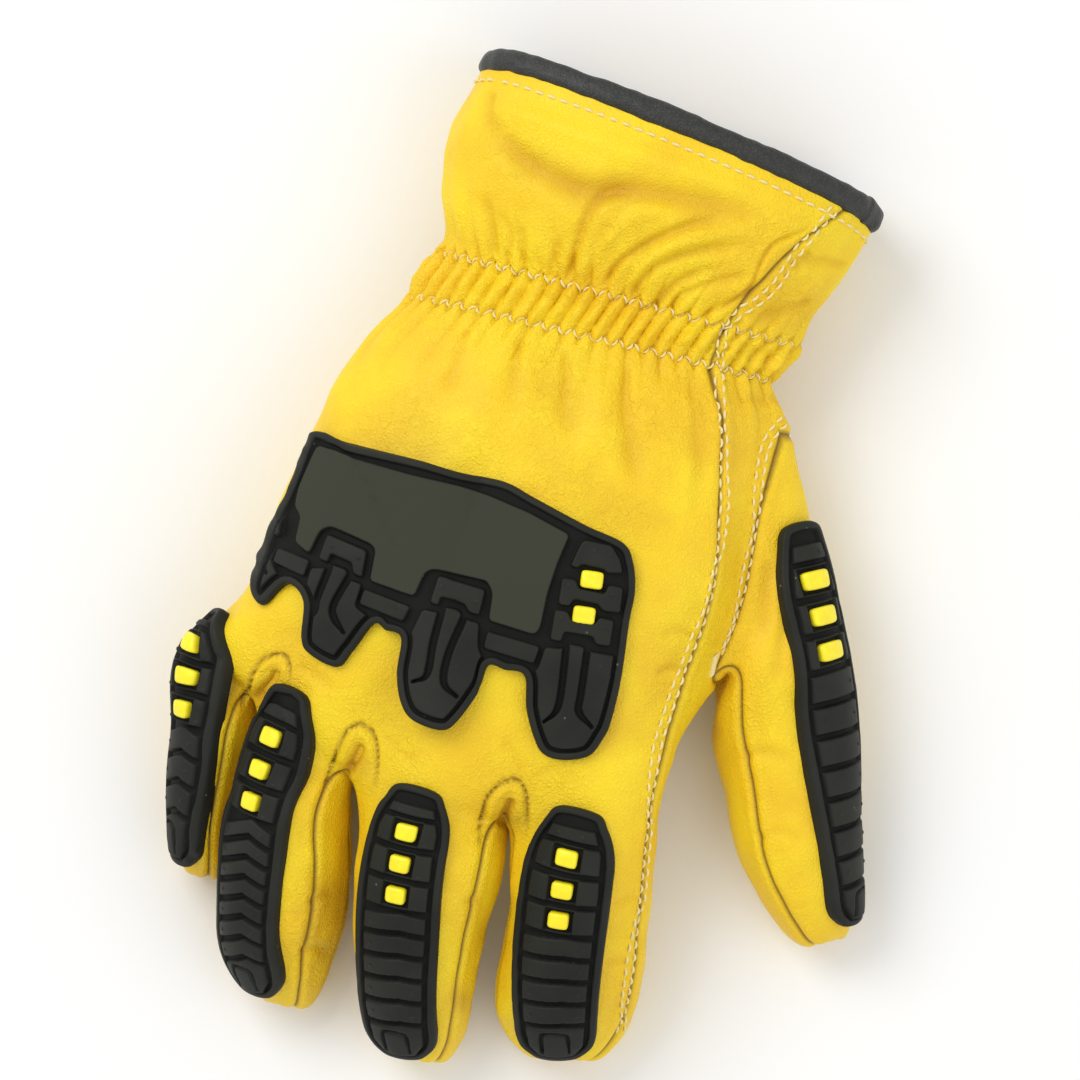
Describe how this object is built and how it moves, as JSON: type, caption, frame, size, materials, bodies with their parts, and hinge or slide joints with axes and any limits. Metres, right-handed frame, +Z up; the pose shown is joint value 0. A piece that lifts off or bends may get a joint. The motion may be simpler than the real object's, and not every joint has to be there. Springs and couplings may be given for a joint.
{
  "type": "impact work glove",
  "caption": "Right-hand slip-on leather work glove with gathered wrist, bound cuff and rubber impact guards with bright inserts on knuckles, fingers and thumb.",
  "frame": {"origin": "middle of the glove's plan, on the surface that the palm rests on", "axes": "+X across the hand to the thumb's side, +Y from the fingertips to the cuff, +Z up out of the back of the hand"},
  "size_m": [0.1822, 0.257, 0.0584],
  "materials": {
    "leather": "yellow full-grain leather, pebbled, soft sheen",
    "rubber": "black moulded rubber, satin",
    "insert": "bright yellow moulded rubber",
    "binding": "black smooth leather"
  },
  "bodies": {
    "root": {"back_panel": "leather", "palm_panel": "leather", "fourchette_ring_little": "leather", "fourchette_middle_ring": "leather", "fourchette_index_middle": "leather", "thumb_back": "leather", "thumb_palm": "leather", "cuff_binding": "binding", "knuckle_guard": "rubber", "guard_little": "rubber", "guard_ring": "rubber", "guard_middle": "rubber", "guard_index": "rubber", "guard_thumb": "rubber", "insert_little_1": "insert", "insert_little_2": "insert", "insert_little_3": "insert", "insert_ring_1": "insert", "insert_ring_2": "insert", "insert_ring_3": "insert", "insert_middle_1": "insert", "insert_middle_2": "insert", "insert_middle_3": "insert", "insert_index_1": "insert", "insert_index_2": "insert", "insert_index_3": "insert", "insert_thumb_1": "insert", "insert_thumb_2": "insert", "insert_thumb_3": "insert", "insert_knuckle_1": "insert", "insert_knuckle_2": "insert"}
  },
  "joints": []
}
